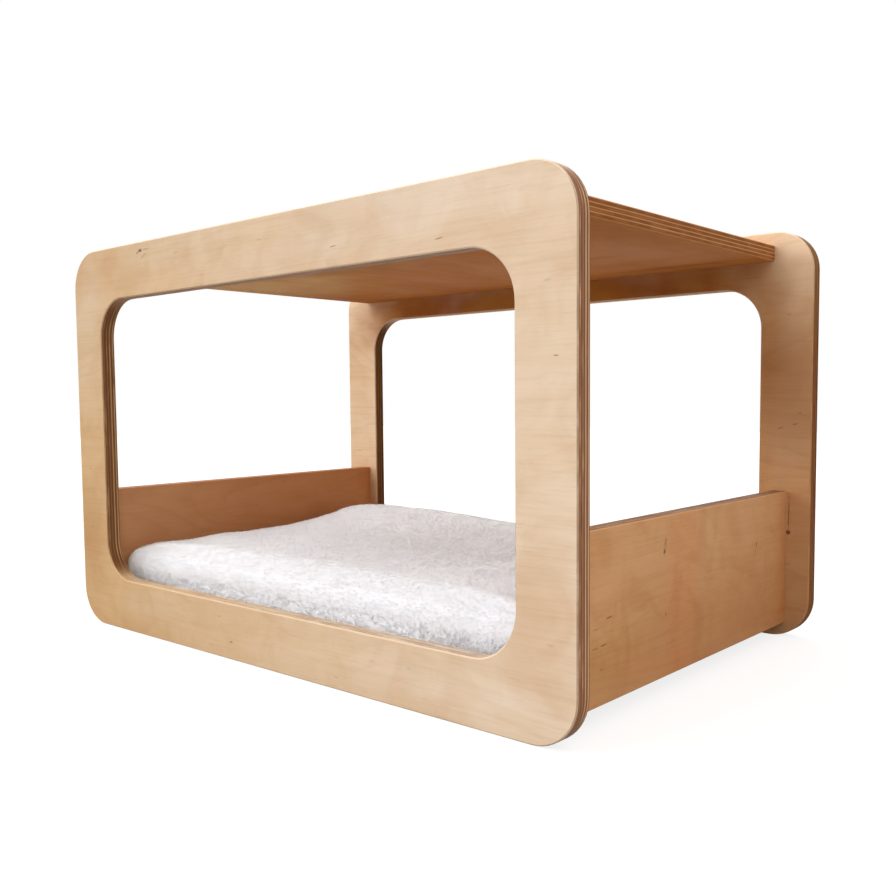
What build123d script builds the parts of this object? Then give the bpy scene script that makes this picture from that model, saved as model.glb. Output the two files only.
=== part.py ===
from build123d import *
from math import atan2, cos, degrees, radians, sin
import os

# Wall-hung cat shelf: two window frames of birch plywood, joined by a roof, a floor and two low side
# panels, with a loose plush cushion on the floor. Millimetres, +Z up, the wall side towards +Y, and the
# origin on the surface it stands on, in the middle of its footprint.

# Driving sizes of the whole shelf
shelf_width = 500.0
shelf_height = 310.0
shelf_depth = 330.0
ply_thickness = 12.0

# The two window frames
stile_width = 40.0
rail_height = 41.0
outer_corner_radius = 30.0
window_corner_radius = 31.0
frame_arris = 0.8  # width and depth of the sanded arrises

# The panels between the frames
panel_end_inset = 30.0  # from a frame's side edge to the roof's edge and to a side panel's inner face
roof_drop = 10.0  # from the frames' top edges down to the roof
side_panel_height = 102.0
side_panel_lift = 11.0  # from the frames' bottom edges up to the side panels and the floor
panel_arris_radius = 1.0

# Beech dowels, glued into blind holes
dowel_diameter = 6.0
dowel_length = 30.0
dowel_bite = 8.0  # how much of a dowel sits in the face of a frame or side panel
dowel_chamfer = 0.9
dowel_fit = 0.05  # radial, all round
glue_space = 1.0  # free depth past each end of a dowel and the tip of a screw

# Countersunk screws through the rear frame into the panels' rear ends
screw_length = 40.0
screw_body_diameter = 3.2  # halfway up the thread, which runs right to the head
screw_hole_diameter = 4.5  # in the frame, clear of the thread
screw_head_diameter = 8.0
screw_head_rim = 0.4
screw_tip_length = 5.0
screw_sink = 0.25  # how far a head sits below the surface
screw_recess_width = 1.1
screw_recess_span = 4.2
screw_recess_depth = 1.6

# Short countersunk screws that hold the hanging plates
plate_screw_length = 10.0
plate_screw_body_diameter = 2.4
plate_screw_hole_diameter = 3.2  # in the plate
plate_screw_head_diameter = 5.6
plate_screw_head_rim = 0.2
plate_screw_tip_length = 2.5
plate_screw_recess_width = 0.8
plate_screw_recess_span = 2.8
plate_screw_recess_depth = 0.9

screw_fit = 0.05  # radial, round a screw's body in its pilot hole and its head in its countersink
countersink_angle = 90

# Steel keyhole plates let into the rear frame's stiles, to hang the shelf on two wall screws
plate_length = 50.0
plate_width = 18.0
plate_thickness = 2.0
plate_sink = 0.2  # below the frame's back face
plate_fit = 0.15
plate_drop = 52.0  # from the frame's top edge down to the plate's middle
plate_screw_reach = 19.5  # from the plate's middle to each of its screws
keyhole_entry_diameter = 10.0
keyhole_slot_width = 5.0
keyhole_entry_drop = 6.5  # from the plate's middle down to the entry hole
keyhole_slot_rise = 6.5  # from the plate's middle up to where the wall screw comes to rest
head_pocket_width = 13.0
head_pocket_depth = 6.0  # room behind the plate for the wall screw's head

# Places of the dowels and screws, as shares of the panel that they join
panel_joint_shares = (-0.39, 0.0, 0.39)  # across the roof's and floor's width
side_joint_shares = (0.26, 0.76)  # up a side panel's height
floor_side_shares = (-0.33, 0.0, 0.33)  # along the floor's depth

# The cushion: a plush top and a plain base cloth, sewn together round a wadding pad
cushion_gap = 1.5  # from the cushion's widest line to the wood round it
cushion_floor_gap = 0.3
cushion_edge_height = 42.0
cushion_crown = 6.0
cushion_back_rise = 7.0  # how much higher the top lies at the back than at the front
cushion_bottom_roll = 11.0
cushion_top_roll = 15.0
cushion_corner_radius = 34.0
cushion_draw_in = 4.0  # how far each side pulls in between its corners
crown_reach = 108.0  # how far in from the edge the crown goes on rising
crown_step_shares = (0.18, 0.42, 0.7, 1.0)
bottom_roll_turns = (15, 34, 53, 71, 90)  # degrees; what comes before is pressed flat on the floor
top_roll_turns = (0, 18, 36, 54, 72)  # degrees, after which the crown takes over
plush_thickness = 6.0
base_cloth_thickness = 1.2
wadding_gap = 0.3

# Sizes that follow
window_width = shelf_width - 2 * stile_width
window_height = shelf_height - 2 * rail_height
roof_width = shelf_width - 2 * panel_end_inset
panel_depth = shelf_depth - 2 * ply_thickness
front_y = -shelf_depth / 2 + ply_thickness  # back face of the front frame
rear_y = shelf_depth / 2 - ply_thickness  # front face of the rear frame
wall_y = shelf_depth / 2
roof_middle_z = shelf_height - roof_drop - ply_thickness / 2
floor_middle_z = side_panel_lift + ply_thickness / 2
floor_top_z = side_panel_lift + ply_thickness
side_middle_x = roof_width / 2 + ply_thickness / 2
plate_x = shelf_width / 2 - stile_width / 2
plate_z = shelf_height - plate_drop
plate_back_y = wall_y - plate_sink

roof_joints = [(share * roof_width, roof_middle_z) for share in panel_joint_shares]
floor_joints = [(share * roof_width, floor_middle_z) for share in panel_joint_shares]
side_joint_heights = [side_panel_lift + share * side_panel_height for share in side_joint_shares]
left_joints = [(-side_middle_x, z) for z in side_joint_heights]
right_joints = [(side_middle_x, z) for z in side_joint_heights]
floor_side_depths = [share * panel_depth for share in floor_side_shares]

os.makedirs("parts", exist_ok=True)


def save(part, name):
    """Labels a finished piece and writes it under its node's name."""
    part.label = name
    export_step(part, f"parts/{name}.step")


def facing(points, y, direction):
    """Planes at (x, z) points on the wall-parallel plane y, looking along +Y or -Y."""
    return [Plane(origin=(x, y, z), x_dir=(1, 0, 0), z_dir=(0, direction, 0)) for x, z in points]


# Frames: a rounded rectangle with a rounded window, its arrises sanded off
def window_frame(back_y):
    """One plywood frame whose back face lies on the plane y = back_y."""
    with BuildPart() as frame:
        with BuildSketch(Plane.XZ.offset(-back_y)):
            with Locations((0, shelf_height / 2)):
                RectangleRounded(shelf_width, shelf_height, outer_corner_radius)
                RectangleRounded(window_width, window_height, window_corner_radius, mode=Mode.SUBTRACT)
        extrude(amount=ply_thickness)
        chamfer(frame.faces().filter_by(Axis.Y).edges(), length=frame_arris)
    return frame.part


with BuildPart() as front_frame:
    add(window_frame(front_y))
    with Locations(*facing(roof_joints + floor_joints + left_joints + right_joints, front_y, 1)):
        Hole(dowel_diameter / 2 + dowel_fit, dowel_bite + glue_space)

with BuildPart() as rear_frame:
    add(window_frame(wall_y))
    with Locations(*facing(roof_joints + floor_joints + left_joints + right_joints, wall_y, 1)):
        CounterSinkHole(
            screw_hole_diameter / 2,
            screw_head_diameter / 2 + screw_head_rim + screw_sink + screw_fit,
            counter_sink_angle=countersink_angle,
        )
    for side in (-1, 1):
        with BuildSketch(Plane(origin=(side * plate_x, wall_y, plate_z), x_dir=(1, 0, 0), z_dir=(0, -1, 0))):
            SlotOverall(plate_length + 2 * plate_fit, plate_width + 2 * plate_fit, rotation=90)
        extrude(amount=plate_sink + plate_thickness, mode=Mode.SUBTRACT)
        keyhole_middle_z = plate_z + (keyhole_slot_rise - keyhole_entry_drop) / 2
        pocket_plane = Plane(
            origin=(side * plate_x, plate_back_y - plate_thickness, keyhole_middle_z),
            x_dir=(1, 0, 0),
            z_dir=(0, -1, 0),
        )
        with BuildSketch(pocket_plane):
            SlotCenterToCenter(keyhole_entry_drop + keyhole_slot_rise, head_pocket_width, rotation=90)
        extrude(amount=head_pocket_depth, mode=Mode.SUBTRACT)
    screw_points = [
        (side * plate_x, plate_z + end * plate_screw_reach) for side in (-1, 1) for end in (-1, 1)
    ]
    with Locations(*facing(screw_points, plate_back_y - plate_thickness, 1)):
        Hole(
            plate_screw_body_diameter / 2 + screw_fit,
            plate_screw_length - plate_thickness + glue_space / 2,
        )


# Panels: square-ended boards with the long visible arrises eased, and holes for what joins them
def drill_panel_ends(points):
    """Dowel holes in the front end and pilot holes in the rear end of a panel between the frames."""
    with Locations(*facing(points, front_y, -1)):
        Hole(dowel_diameter / 2 + dowel_fit, dowel_length - dowel_bite + glue_space)
    with Locations(*facing(points, rear_y, 1)):
        Hole(screw_body_diameter / 2 + screw_fit, screw_length + screw_sink - ply_thickness + glue_space)


def side_planes(side, outwards):
    """Planes on the joint between the floor and one side panel, looking towards or away from the middle."""
    return [
        Plane(
            origin=(side * roof_width / 2, y, floor_middle_z),
            x_dir=(0, 1, 0),
            z_dir=(side * outwards, 0, 0),
        )
        for y in floor_side_depths
    ]


with BuildPart() as roof_panel:
    with BuildSketch(Plane.XY.offset(roof_middle_z)):
        Rectangle(roof_width, panel_depth)
    extrude(amount=ply_thickness / 2, both=True)
    fillet(roof_panel.edges().filter_by(Axis.Y), radius=panel_arris_radius)
    drill_panel_ends(roof_joints)

with BuildPart() as floor_panel:
    with BuildSketch(Plane.XY.offset(floor_middle_z)):
        Rectangle(roof_width, panel_depth)
    extrude(amount=ply_thickness / 2, both=True)
    drill_panel_ends(floor_joints)
    for side in (-1, 1):
        with Locations(*side_planes(side, 1)):
            Hole(dowel_diameter / 2 + dowel_fit, dowel_length - dowel_bite + glue_space)


def side_panel(side):
    """The low wall on one side of the floor, side -1 for left and 1 for right."""
    with BuildPart() as panel:
        with BuildSketch(Plane.YZ.offset(side * side_middle_x)):
            with Locations((0, side_panel_lift + side_panel_height / 2)):
                Rectangle(panel_depth, side_panel_height)
        extrude(amount=ply_thickness / 2, both=True)
        fillet(panel.edges().filter_by(Axis.Y), radius=panel_arris_radius)
        drill_panel_ends(left_joints if side < 0 else right_joints)
        with Locations(*side_planes(side, -1)):
            Hole(dowel_diameter / 2 + dowel_fit, dowel_bite + glue_space)
    return panel.part


save(front_frame.part, "front_frame")
save(rear_frame.part, "rear_frame")
save(roof_panel.part, "roof_panel")
save(floor_panel.part, "floor_panel")
save(side_panel(-1), "left_side_panel")
save(side_panel(1), "right_side_panel")

# Dowels: chamfered pins
with BuildPart() as dowel:
    Cylinder(dowel_diameter / 2, dowel_length, align=(Align.CENTER, Align.CENTER, Align.MIN))
    chamfer(dowel.edges().filter_by(GeomType.CIRCLE), length=dowel_chamfer)


def dowel_row(planes):
    """Dowels that start at their bite below each plane and stand along its normal."""
    with BuildPart() as row:
        with Locations(*[plane.offset(-dowel_bite) for plane in planes]):
            add(dowel.part)
    return row.part


save(dowel_row(facing(roof_joints, front_y, 1)), "roof_front_dowels")
save(dowel_row(facing(floor_joints, front_y, 1)), "floor_front_dowels")
save(dowel_row(facing(left_joints, front_y, 1)), "left_side_front_dowels")
save(dowel_row(facing(right_joints, front_y, 1)), "right_side_front_dowels")
save(dowel_row(side_planes(-1, -1)), "left_floor_dowels")
save(dowel_row(side_planes(1, -1)), "right_floor_dowels")


# Screws: a flat countersunk head with a cross recess on a body that ends in a point
def countersunk_screw(length, body, head, rim, tip, recess):
    """A screw that points down, with its head's flat top on the XY plane."""
    recess_width, recess_span, recess_depth = recess
    with BuildPart() as screw:
        with BuildSketch(Plane.XZ):
            with BuildLine():
                Polyline(
                    (0, 0),
                    (head / 2, 0),
                    (head / 2, -rim),
                    (body / 2, -rim - (head - body) / 2),
                    (body / 2, tip - length),
                    (0, -length),
                    close=True,
                )
            make_face()
        revolve(axis=Axis.Z)
        for turn in (0, 90):
            with BuildSketch(Plane.XY):
                Rectangle(recess_span, recess_width, rotation=turn)
            extrude(amount=-recess_depth, mode=Mode.SUBTRACT)
    return screw.part


panel_screw = countersunk_screw(
    screw_length,
    screw_body_diameter,
    screw_head_diameter,
    screw_head_rim,
    screw_tip_length,
    (screw_recess_width, screw_recess_span, screw_recess_depth),
)
plate_screw = countersunk_screw(
    plate_screw_length,
    plate_screw_body_diameter,
    plate_screw_head_diameter,
    plate_screw_head_rim,
    plate_screw_tip_length,
    (plate_screw_recess_width, plate_screw_recess_span, plate_screw_recess_depth),
)


def screw_row(screw, planes):
    """Screws whose heads' tops lie on the planes and whose tips point against the normals."""
    with BuildPart() as row:
        with Locations(*planes):
            add(screw)
    return row.part


save(screw_row(panel_screw, facing(roof_joints, wall_y - screw_sink, 1)), "roof_rear_screws")
save(screw_row(panel_screw, facing(floor_joints, wall_y - screw_sink, 1)), "floor_rear_screws")
save(screw_row(panel_screw, facing(left_joints, wall_y - screw_sink, 1)), "left_side_rear_screws")
save(screw_row(panel_screw, facing(right_joints, wall_y - screw_sink, 1)), "right_side_rear_screws")


# Hanging plates: a steel strip with rounded ends, a keyhole and two countersunk holes
def hanging_plate(side):
    """The keyhole plate in one stile, side -1 for left and 1 for right."""
    middle = Plane(origin=(side * plate_x, plate_back_y, plate_z), x_dir=(1, 0, 0), z_dir=(0, -1, 0))
    with BuildPart() as plate:
        with BuildSketch(middle):
            SlotOverall(plate_length, plate_width, rotation=90)
            with Locations((0, -keyhole_entry_drop)):
                Circle(keyhole_entry_diameter / 2, mode=Mode.SUBTRACT)
            with Locations((0, (keyhole_slot_rise - keyhole_entry_drop) / 2)):
                SlotCenterToCenter(
                    keyhole_entry_drop + keyhole_slot_rise,
                    keyhole_slot_width,
                    rotation=90,
                    mode=Mode.SUBTRACT,
                )
        extrude(amount=plate_thickness)
        ends = [(side * plate_x, plate_z + end * plate_screw_reach) for end in (-1, 1)]
        with Locations(*facing(ends, plate_back_y, 1)):
            CounterSinkHole(
                plate_screw_hole_diameter / 2,
                plate_screw_head_diameter / 2 + plate_screw_head_rim + screw_fit,
                counter_sink_angle=countersink_angle,
            )
    return plate.part, facing(ends, plate_back_y, 1)


for side, side_name in ((-1, "left"), (1, "right")):
    plate, screw_planes = hanging_plate(side)
    save(plate, f"{side_name}_hanging_plate")
    save(screw_row(plate_screw, screw_planes), f"{side_name}_plate_screws")


# Cushion: rounded edges, sides that pull in between the corners, a crowned top that is fuller at the back
def cushion_levels(wall, base):
    """(height, inset) pairs from the base up over the crown, for a form inside a wall and over a base."""
    bottom = cushion_bottom_roll - wall
    top = cushion_top_roll - wall
    step = 1 if wall == 0 else 2  # the hidden forms have half the steps
    flat_height = bottom * cos(radians(bottom_roll_turns[0]))
    levels = [
        (base + flat_height - bottom * cos(radians(turn)), wall + bottom * (1 - sin(radians(turn))))
        for turn in bottom_roll_turns[::step]
    ]
    levels += [
        (
            cushion_edge_height - cushion_top_roll + top * sin(radians(turn)),
            wall + top * (1 - cos(radians(turn))),
        )
        for turn in top_roll_turns[::step]
    ]
    rolled_height, rolled_inset = levels[-1]
    for share in crown_step_shares:
        rise = cushion_crown * (1 - (1 - share) ** 2)
        levels.append((rolled_height + rise, rolled_inset + share * (crown_reach - rolled_inset)))
    return levels


def cushion_outline(plane, inset):
    """One level's outline: four sides drawn in towards the middle, joined by round corners."""
    half_x = roof_width / 2 - cushion_gap - inset
    half_y = panel_depth / 2 - cushion_gap - inset
    inset_share = 2 * half_y / panel_depth
    corner = cushion_corner_radius * inset_share
    draw_in = cushion_draw_in * inset_share
    chord = corner * cos(radians(45))
    with BuildSketch(plane) as outline:
        with BuildLine():
            for sx, sy in ((1, -1), (1, 1), (-1, 1), (-1, -1)):
                centre_x = sx * (half_x - corner)
                centre_y = sy * (half_y - corner)
                ThreePointArc(
                    (centre_x, sy * half_y),
                    (centre_x + sx * chord, centre_y + sy * chord),
                    (sx * half_x, centre_y),
                )
            for sy in (-1, 1):
                ThreePointArc(
                    (corner - half_x, sy * half_y),
                    (0, sy * (half_y - draw_in)),
                    (half_x - corner, sy * half_y),
                )
            for sx in (-1, 1):
                ThreePointArc(
                    (sx * half_x, corner - half_y),
                    (sx * (half_x - draw_in), 0),
                    (sx * half_x, half_y - corner),
                )
        make_face()
    return outline.sketch


def cushion_form(wall, base):
    """The cushion's closed form inside a wall and over a base, its levels tilting up towards the back."""
    levels = cushion_levels(wall, base)
    full_tilt = degrees(atan2(cushion_back_rise, panel_depth))
    outlines = []
    for number, (height, inset) in enumerate(levels):
        tilt = full_tilt * number / (len(levels) - 1)
        plane = Plane.XY.offset(cushion_base_z + height).rotated((tilt, 0, 0))
        outlines.append(cushion_outline(plane, inset))
    with BuildPart() as form:
        loft(sections=outlines, ruled=True)
    return form.part


cushion_base_z = floor_top_z + cushion_floor_gap
seam_plane = Plane.XY.offset(cushion_base_z + base_cloth_thickness)

with BuildPart() as cushion_base_cloth:
    add(cushion_form(0, 0))
    split(bisect_by=seam_plane, keep=Keep.BOTTOM)

with BuildPart() as cushion_plush_top:
    add(cushion_form(0, 0))
    split(bisect_by=seam_plane, keep=Keep.TOP)
    add(cushion_form(plush_thickness, base_cloth_thickness), mode=Mode.SUBTRACT)

with BuildPart() as cushion_wadding:
    add(cushion_form(plush_thickness + wadding_gap, base_cloth_thickness + wadding_gap))

save(cushion_base_cloth.part, "cushion_base_cloth")
save(cushion_plush_top.part, "cushion_plush_top")
save(cushion_wadding.part, "cushion_wadding")
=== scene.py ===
# %% [markdown]
# # A wall-hung cat shelf: finishes and cushion
#
# The shelf is made of six pieces of 12 mm birch plywood round a loose plush cushion. The plywood pieces,
# their dowels, screws and hanging plates come ready as the frame, so their shapes stay as they are and only
# get a finish here. The cushion is soft, so it is made here, and stands for the plain solids in the frame.

import bpy
import numpy as np
from math import radians, tau
from mathutils import Matrix, Vector


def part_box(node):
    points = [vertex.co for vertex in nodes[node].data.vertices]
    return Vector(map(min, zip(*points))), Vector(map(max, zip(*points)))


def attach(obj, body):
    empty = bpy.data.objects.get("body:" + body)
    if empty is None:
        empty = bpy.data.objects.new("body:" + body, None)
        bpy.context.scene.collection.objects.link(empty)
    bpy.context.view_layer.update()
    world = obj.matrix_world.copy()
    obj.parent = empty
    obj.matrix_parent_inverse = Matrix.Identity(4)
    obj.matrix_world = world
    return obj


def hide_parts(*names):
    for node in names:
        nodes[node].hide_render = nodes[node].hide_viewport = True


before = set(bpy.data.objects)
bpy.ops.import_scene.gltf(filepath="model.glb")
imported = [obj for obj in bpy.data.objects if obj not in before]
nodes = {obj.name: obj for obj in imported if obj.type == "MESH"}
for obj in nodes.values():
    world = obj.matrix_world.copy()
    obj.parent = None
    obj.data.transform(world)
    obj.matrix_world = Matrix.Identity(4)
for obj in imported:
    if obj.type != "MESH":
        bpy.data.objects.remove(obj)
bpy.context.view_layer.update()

# %% [markdown]
# ## The camera
#
# The photograph was taken from the front right, a little above the middle of the shelf and quite close, so
# the front frame looks much larger than the rear one. The place, the turn and the lens were worked out once
# from the straight edges of the shelf. A small shift of the lens keeps the vertical edges as steep as they
# are there.

# %% Camera
mm = 0.001
camera_place = Vector((518.8, -580.1, 187.9)) * mm
camera_turn = radians(42.22)  # about the vertical, from looking along +Y
camera_dip = radians(4.01)  # below the horizon
camera_roll = radians(-0.62)
sensor_width = 36.0
lens_length = 38.77
picture_shift = (0.0308, 0.0186)
nearest_seen = 10 * mm

camera_data = bpy.data.cameras.new("camera")
camera_data.sensor_width = sensor_width
camera_data.lens = lens_length
camera_data.shift_x, camera_data.shift_y = picture_shift
camera_data.clip_start = nearest_seen
camera = bpy.data.objects.new("camera", camera_data)
camera.matrix_world = (
    Matrix.Translation(camera_place)
    @ Matrix.Rotation(camera_turn, 4, "Z")
    @ Matrix.Rotation(radians(90) - camera_dip, 4, "X")
    @ Matrix.Rotation(camera_roll, 4, "Z")
)
bpy.context.scene.collection.objects.link(camera)
bpy.context.scene.camera = camera
print("camera:", lens_length, "mm lens at", tuple(round(c, 3) for c in camera_place))

# %% [markdown]
# ## Short calls for node trees
#
# Every finish below is a node tree. One small class keeps them readable: a call adds a node, joins sockets
# or numbers to its inputs and hands back the output socket, so that a tree reads like a formula.


# %% A node tree as a formula
class Finish:
    """A material or world whose nodes are added by short calls that take and return sockets."""

    def __init__(self, name, kind=bpy.data.materials):
        self.data = kind.new(name)
        self.data.use_nodes = True
        self.tree = self.data.node_tree
        self.tree.nodes.clear()

    def add(self, kind, inputs, output=0, **settings):
        """Adds one shader node, fills its inputs from numbers or sockets and returns one output."""
        node = self.tree.nodes.new("ShaderNode" + kind)
        for key, value in settings.items():
            setattr(node, key, value)
        for key, value in inputs.items():
            if isinstance(value, bpy.types.NodeSocket):
                self.tree.links.new(value, node.inputs[key])
            else:
                node.inputs[key].default_value = value
        return node.outputs[output] if node.outputs else None

    def math(self, operation, a, b=0.0, c=0.0):
        """One Math node."""
        return self.add("Math", {0: a, 1: b, 2: c}, operation=operation)

    def times(self, a, b):
        """The product of two values."""
        return self.math("MULTIPLY", a, b)

    def mix(self, share, a, b):
        """Goes from colour or value a to b as share goes from 0 to 1."""
        colour = any(hasattr(x, "__len__") or getattr(x, "type", "") in ("RGBA", "VECTOR") for x in (a, b))
        if colour:
            return self.add("Mix", {0: share, 6: a, 7: b}, output=2, data_type="RGBA")
        return self.add("Mix", {0: share, 2: a, 3: b}, output=0, data_type="FLOAT")

    def step(self, value, start, end, low=0.0, high=1.0):
        """Goes smoothly from low to high as value goes from start to end."""
        ends = {"Value": value, "From Min": start, "From Max": end, "To Min": low, "To Max": high}
        return self.add("MapRange", ends, interpolation_type="SMOOTHSTEP")

    def tint(self, colour, red, green, blue):
        """A colour with its three parts multiplied."""
        return self.add("VectorMath", {0: colour, 1: (red, green, blue)}, operation="MULTIPLY")

    def join(self, x, y, z):
        """A vector from three values."""
        return self.add("CombineXYZ", {0: x, 1: y, 2: z})

    def split(self, vector):
        """A vector's three values."""
        return [self.add("SeparateXYZ", {0: vector}, output=number) for number in range(3)]

    def noise(self, vector, scale=1.0, detail=2.0, roughness=0.5, distortion=0.0):
        """Soft noise about 0.5."""
        inputs = {"Vector": vector, "Scale": scale, "Detail": detail, "Roughness": roughness}
        return self.add("TexNoise", inputs | {"Distortion": distortion}, output="Fac")

    def shade(self, colour, roughness, height=None, strength=0.2, distance=0.2 * mm, **more):
        """Ends the tree in a Principled shader, with a bump where a height is given."""
        inputs = {"Base Color": colour, "Roughness": roughness, "Specular IOR Level": 0.2} | more
        if height is not None:
            bump = {"Strength": strength, "Distance": distance, "Height": height}
            inputs["Normal"] = self.add("Bump", bump)
        shader = self.add("BsdfPrincipled", inputs)
        self.add("OutputMaterial", {"Surface": shader})
        return self.data


def colour(red, green, blue):
    """An opaque colour."""
    return (red, green, blue, 1.0)


def dress(material, *names):
    """Gives the named frame nodes one finish."""
    for name in names:
        slots = nodes[name].data.materials
        slots.clear()
        slots.append(material)
    print(material.name, "on", ", ".join(names))


# %% [markdown]
# ## Birch plywood
#
# Birch plywood is a stack of thin veneers, each with its grain across the one below, and nine of them make
# 12 mm. A picture of veneer could be laid on each face and one of the stack on each edge, but then a rounded
# corner would show a seam. Here the wood is solid: every point of a board knows how deep in the stack it
# lies, so the faces, the sanded arrises and the sawn edges all cut through one body of wood.
#
# In each veneer two looks alternate. Where a cut runs along the fibres the wood is pale, with fine streaks.
# Where it runs across them the open fibre ends drink the oil and turn dark brown. Which one shows follows
# from the surface's direction and the veneer's number, and it changes smoothly round a corner, as on the
# real thing.

# %% Plywood values
ply_count = 9
ply_thickness = 12 * mm
# The arrises are rubbed pale partly by wear and partly as a painted highlight.
usual_rub_and_highlight = 0.35  # how far the sanded arrises are rubbed pale
heart_brown = colour(0.060, 0.024, 0.010)
# The colour of knots and dashes, and of one painted gap shadow on the rear frame.
mark_and_shadow_brown = colour(0.170, 0.064, 0.022)
axis_numbers = {"x": 0, "y": 1, "z": 2}


def patch(t, flat, ripple, soft, along, across, length, width, turn, depth):
    """One ellipse on a board's face, in millimetres, turned by some degrees: depth inside, nothing outside.

    The ripple frays its edge, and the edge fades over a share of the ellipse on each side of its line.
    """
    inputs = {
        "Vector": flat,
        "Location": (along * mm, across * mm, 0.0),
        "Rotation": (0.0, 0.0, radians(turn)),
        "Scale": (length / 2 * mm, width / 2 * mm, 1.0),
    }
    centred = t.add("Mapping", inputs, vector_type="TEXTURE")
    distance = t.add("VectorMath", {0: centred}, output="Value", operation="LENGTH")
    return t.step(t.math("ADD", distance, ripple), 0.9 + soft, 0.9 - soft, 0.0, depth)


def plywood(
    name, axes, low_face, pale, deep, seed, tone_and_shade_drift=(0, 0, 0), marks=(), marks_low=True, tone_and_light_patches=(),
    figure=0.4, flame=0.6, flecks=0.4, scorch=0.75, gloss=0.2, cross_veneer=1.41,
    edge_scorch_and_shade=(0.86, 0.66, 0.53), burnt_share=0.15, long_cuts=((0.92, 0.84, 0.76), (0.66, 0.52, 0.41)),
    pale_plies=(1, 1, 1), end_tint=None, top_tint=None, long_edge_painted_light=None, end_rub_and_highlight=usual_rub_and_highlight, patch_stop=None,
):
    """Solid birch plywood: axes name the face grain, the other face direction and the stack's direction.

    The depth in the stack gives the veneer's number. Odd veneers, cross_veneer millimetres thick, swap
    their grain with the face's. A veneer looks pale where the surface runs along its fibres and dark where
    it cuts across them. By tone_and_shade_drift the board's colour drifts from deep to pale by so much per
    metre along the face, about a middle share: partly the board's own tone, partly painted light and shade.

    A board has sawn ends, across the face grain, and long edges, along it. Both were scorched by the
    cutter: edge_scorch_and_shade colours all of an end and burnt_share of a long edge. It holds the scorch
    and painted shade on the frames' edges, and on the roof it lifts the edges out of the board's painted
    shade. long_cuts are the pale and the dark tint of cut fibres on long edges, pale_plies tints the pale
    veneers of an end, and end_tint is (start, end, tint) along the board. long_edge_painted_light has a
    painted highlight for long edges that face up and painted shade for those that face down, top_tint is
    for the upper face alone, and end_rub_and_highlight is how far an end's arris is sanded pale, partly
    wear and partly a painted highlight.
    patch_stop is (stop, start, end): the patches end across the face at the stop, but come back along it.
    On the rear frame the stop lies at the roof, so that the painted shade under the roof ends there.
    """
    t = Finish(name)
    spots = t.split(t.add("TexCoord", {}, output="Object"))
    signed = t.split(t.add("TexCoord", {}, output="Normal"))
    along, across, through = (spots[axis_numbers[axis]] for axis in axes)
    to_along, to_across, to_face = (t.math("ABSOLUTE", signed[axis_numbers[axis]]) for axis in axes)

    def stretched(a, by_a, b, by_b, c, **settings):
        return t.noise(t.join(t.times(a, by_a), t.times(b, by_b), c), **settings)

    # The veneer's number, and how near its glue line is
    odd_part = (ply_count - 1) / 2 * cross_veneer * mm
    pair = (ply_thickness - odd_part) / ((ply_count + 1) / 2) + cross_veneer * mm
    wobble = t.math("MULTIPLY_ADD", stretched(along, 20.0, across, 20.0, through), 0.5 * mm, -0.25 * mm)
    depth = t.math("ADD", t.math("SUBTRACT", through, low_face), wobble)
    depth = t.add("Clamp", {"Value": depth, "Min": 0.01 * mm, "Max": ply_thickness - 0.01 * mm})
    in_pairs = t.math("DIVIDE", depth, pair)
    in_pair = t.math("FRACT", in_pairs)
    even_share = 1 - cross_veneer * mm / pair
    odd = t.math("GREATER_THAN", in_pair, even_share)
    number = t.math("MULTIPLY_ADD", t.math("FLOOR", in_pairs), 2.0, odd)
    to_even, to_odd = t.math("SUBTRACT", 1.0, in_pair), t.math("SUBTRACT", in_pair, even_share)
    to_glue = t.math("MINIMUM", t.math("MINIMUM", in_pair, to_even), t.math("ABSOLUTE", to_odd))

    grain = t.mix(odd, along, across)
    cross = t.mix(odd, across, along)
    own = t.math("MULTIPLY_ADD", number, 0.731, seed)
    luck = t.add("TexWhiteNoise", {"W": own}, output="Value", noise_dimensions="1D")

    # The figure of sliced birch: soft bands, clouds, growth rings, streaks and pores
    slow = stretched(grain, 5.0, cross, 16.0, own, detail=3.0)
    cloud = stretched(grain, 28.0, cross, 26.0, own, detail=3.0, distortion=1.2)
    ring = t.math("FRACT", t.times(stretched(grain, 3.2, cross, 13.0, own, detail=1.5), 17.0))
    ring_line = t.times(t.step(ring, 0.45, 0.93), t.step(ring, 1.0, 0.94))
    fine = t.times(through, 1900.0)
    streaks = stretched(grain, 22.0, cross, 620.0, fine, detail=3.0, roughness=0.6)
    pores = stretched(grain, 110.0, cross, 1300.0, fine, detail=1.0)

    # The drift: partly the board's own tone, partly painted light and shade, pale where more light falls.
    by_across = t.times(across, tone_and_shade_drift[1])
    share = t.math("ADD", t.math("MULTIPLY_ADD", along, tone_and_shade_drift[0], tone_and_shade_drift[2]), by_across)
    board = t.mix(t.add("Clamp", {"Value": share}), deep, pale)
    tone = t.mix(t.step(slow, 0.30, 0.70), board, t.tint(board, 0.92, 0.86, 0.79))
    tone = t.mix(t.times(t.step(cloud, 0.38, 0.68), 0.6 * flame), tone, t.tint(tone, 0.90, 0.83, 0.74))
    tone = t.mix(t.times(ring_line, 0.6 * figure), tone, t.tint(tone, 0.84, 0.74, 0.66))
    tone = t.mix(t.step(streaks, 0.42, 0.80, 0.0, 0.5), tone, t.tint(tone, 0.88, 0.81, 0.74))
    tone = t.mix(t.step(pores, 0.60, 0.80, 0.0, 0.08), tone, heart_brown)

    # Pith flecks, in a few cells of a stretched pattern
    flat_cell = t.join(t.times(grain, 30.0), t.times(cross, 95.0), own)
    cell = {"Vector": flat_cell, "Scale": 1.0}
    fleck_distance = t.add("TexVoronoi", cell, output="Distance", voronoi_dimensions="2D")
    fleck_colour = t.add("TexVoronoi", cell, output="Color", voronoi_dimensions="2D")
    chosen = t.step(t.split(fleck_colour)[0], 0.90, 0.94)
    fleck = t.times(t.step(fleck_distance, 0.10, 0.03), chosen)
    tone = t.mix(t.times(fleck, 0.5 * flecks), tone, heart_brown)
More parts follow.
